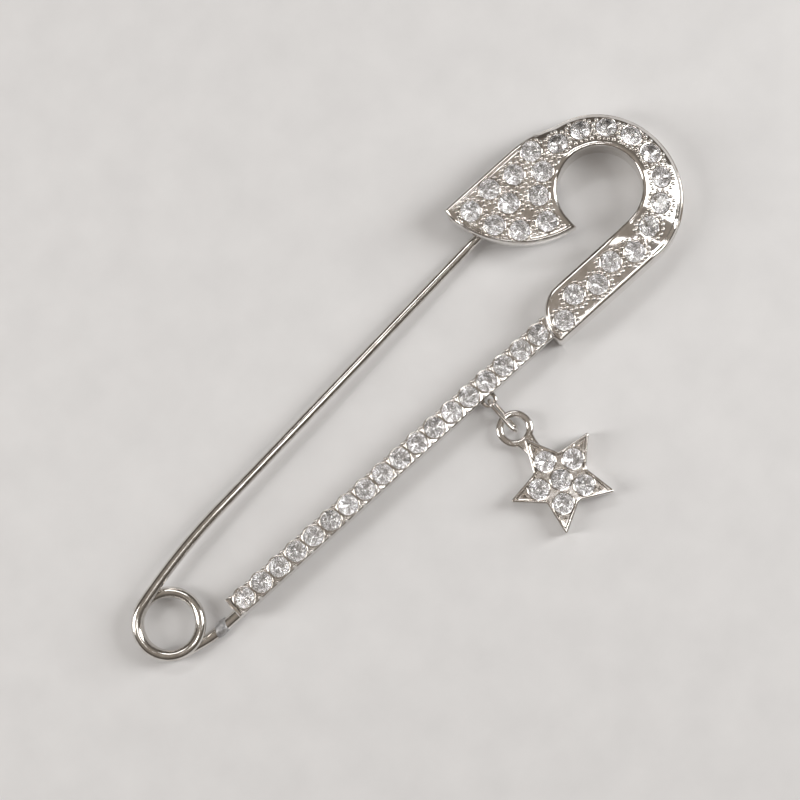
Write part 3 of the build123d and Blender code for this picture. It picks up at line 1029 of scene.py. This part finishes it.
def star_casting():
    shells = Shells()
    insets = [0.02, 0.05, 0.09, 0.13, 0.17, 0.21, 0.24, 0.28, 0.32, 0.36, 0.42]
    shells.add(*relief(star_loop, star_seats, 0.0, star_level, insets, spacing=0.2))
    centre = star_seats[0][0]
    for seat, axis in star_seats:
        bezel(shells, seat, axis, wall=0.09)
    floor = star_top + 0.06 - STAR_RECESS
    for i in range(5):
        turn = math.radians(90 + 72 * i)
        out = np.array([math.cos(turn), math.sin(turn), 0])
        side = np.array([-math.sin(turn), math.cos(turn), 0])
        base = np.array([centre[0], centre[1], floor - 0.05])
        for along, reach, width in ((3.62, 0.62, 0.34), (3.55, -0.12, 0.16)):
            a = base + out * along + side * width
            b = base + out * along - side * width
            c = base + out * (along + reach)
            peak = (a + b + c) / 3 + np.array([0, 0, 0.30])
            shells.add([a, b, c, peak], [(0, 1, 2), (0, 1, 3), (1, 2, 3), (2, 0, 3)])
    bail = joint_at["star_swing"]
    r, w, t = BAIL_RING, BAIL_WIDTH / 2, BAIL_THICKNESS / 2
    ring = [(r + w * math.cos(a), t * math.sin(a)) for a in np.linspace(0, 2 * math.pi, 20, endpoint=False)]
    squared = [
        (
            r + math.copysign(abs(x - r) ** 0.8 * w**0.2, x - r),
            math.copysign(abs(z) ** 0.8 * t**0.2, z),
        )
        for x, z in ring
    ]
    shells.add(*lathe(squared, np.array([bail[0], bail[1], bail[2]]), (0, 0, 1), 64, closed_ring=True))
    for side in (-1, 1):
        start = np.array([bail[0] + side * 0.80, bail[1] - 1.22, bail[2]])
        middle = np.array([bail[0] + side * 0.52, bail[1] - 1.95, bail[2] + 0.12])
        end = np.array([bail[0] + side * 0.62, bail[1] - 3.25, bail[2] + 0.42])
        shells.add(*tube(bend(start, middle, end, 12), np.linspace(0.30, 0.16, 12), 14))
    web = [(-0.72, -1.35), (0.72, -1.35), (0.56, -2.1), (0.62, -3.0), (-0.62, -3.0), (-0.56, -2.1)]
    low, high = bail[2] - 0.28, bail[2] + 0.34
    points = [(bail[0] + x, bail[1] + y, z) for z in (low, high) for x, y in web]
    count = len(web)
    faces = [tuple(range(count)), tuple(range(count, 2 * count))]
    faces += [(k, (k + 1) % count, count + (k + 1) % count, count + k) for k in range(count)]
    shells.add(points, faces)
    made = shells.piece("star_casting_pave", [casting_metal])
    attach(made, "star")
    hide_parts("star_casting")


star_casting()


# ---------------------------------------------------------------- materials on the CAD nodes that stay
for name, node in frame["nodes"].items():
    if node.hide_render:
        continue
    node.data.materials.clear()
    node.data.materials.append(casting_metal)
    node.data.shade_smooth()
    node.data.set_sharp_from_angle(angle=math.radians(30))


# ---------------------------------------------------------------- stage, light and camera
def stage():
    half = 0.6
    mesh = bpy.data.meshes.new("studio_floor")
    corners = [(-half, -half, 0), (half, -half, 0), (half, half, 0), (-half, half, 0)]
    mesh.from_pydata(corners, [], [(0, 1, 2, 3)])
    mesh.materials.append(studio_paper())
    floor = bpy.data.objects.new("studio_floor", mesh)
    bpy.context.scene.collection.objects.link(floor)


def camera_axes():
    """Where the camera stands, and its right and up directions, from how it is turned and tipped."""
    tip, turn = math.radians(CAMERA_TIP), math.radians(CAMERA_TURN)
    back = Vector((0, -math.sin(tip), math.cos(tip)))
    right = Vector((math.cos(turn), -math.sin(turn), 0))
    right = (right - back * right.dot(back)).normalized()
    return back, right, back.cross(right)


def camera():
    back, right, up = camera_axes()
    data = bpy.data.cameras.new("camera")
    data.sensor_width = SENSOR
    data.lens = SENSOR * CAMERA_DISTANCE / CAMERA_FIELD
    data.clip_start = 0.005
    data.clip_end = 10.0
    made = bpy.data.objects.new("camera", data)
    turned = Matrix((right, up, back)).transposed().to_4x4()
    made.matrix_world = Matrix.Translation((Vector(LOOK_AT) + back * CAMERA_DISTANCE) * MM) @ turned
    bpy.context.scene.collection.objects.link(made)
    bpy.context.scene.camera = made


def softbox(name, across_view, up_view, height, size, power, colour=(1, 1, 1)):
    """A square light, placed by how far right and up it is in the camera's view, in mm."""
    _, right, up = camera_axes()
    place = (Vector(LOOK_AT) + right * across_view + up * up_view + Vector((0, 0, height))) * MM
    data = bpy.data.lights.new(name, "AREA")
    data.shape = "RECTANGLE"
    data.size, data.size_y = size[0] * MM, size[1] * MM
    data.energy = power
    data.color = colour
    made = bpy.data.objects.new(name, data)
    made.location = place
    made.rotation_mode = "QUATERNION"
    made.rotation_quaternion = (place - Vector(LOOK_AT) * MM).to_track_quat("Z", "Y")
    bpy.context.scene.collection.objects.link(made)


def surroundings():
    """A warm grey room: mid grey overhead, darker towards the walls, a little light at the horizon."""
    world = bpy.data.worlds.new("studio")
    world.use_nodes = True
    tree = world.node_tree
    background = tree.nodes["Background"]
    place = tree.nodes.new("ShaderNodeTexCoord")
    split = tree.nodes.new("ShaderNodeSeparateXYZ")
    tree.links.new(place.outputs["Generated"], split.inputs["Vector"])
    shade = ramp(tree, split.outputs["Z"], ((0.0, (0.16, 0.14, 0.12)), (1.0, (0.34, 0.30, 0.26))))
    middle = shade.node.color_ramp.elements.new(0.45)
    middle.color = (0.09, 0.08, 0.07, 1)
    tree.links.new(shade, background.inputs["Color"])
    background.inputs["Strength"].default_value = 1.0
    bpy.context.scene.world = world


stage()
camera()
surroundings()
bpy.context.scene.view_settings.view_transform = "Standard"
softbox("right_softbox", 250, 70, 190, (110, 240), 0.66, (1.0, 0.99, 0.97))
softbox("left_softbox", -240, -40, 150, (90, 220), 0.42, (1.0, 0.98, 0.95))
softbox("top_strip", -70, 200, 300, (200, 50), 0.17)
softbox("over_strip", 60, -50, 420, (40, 120), 0.10)
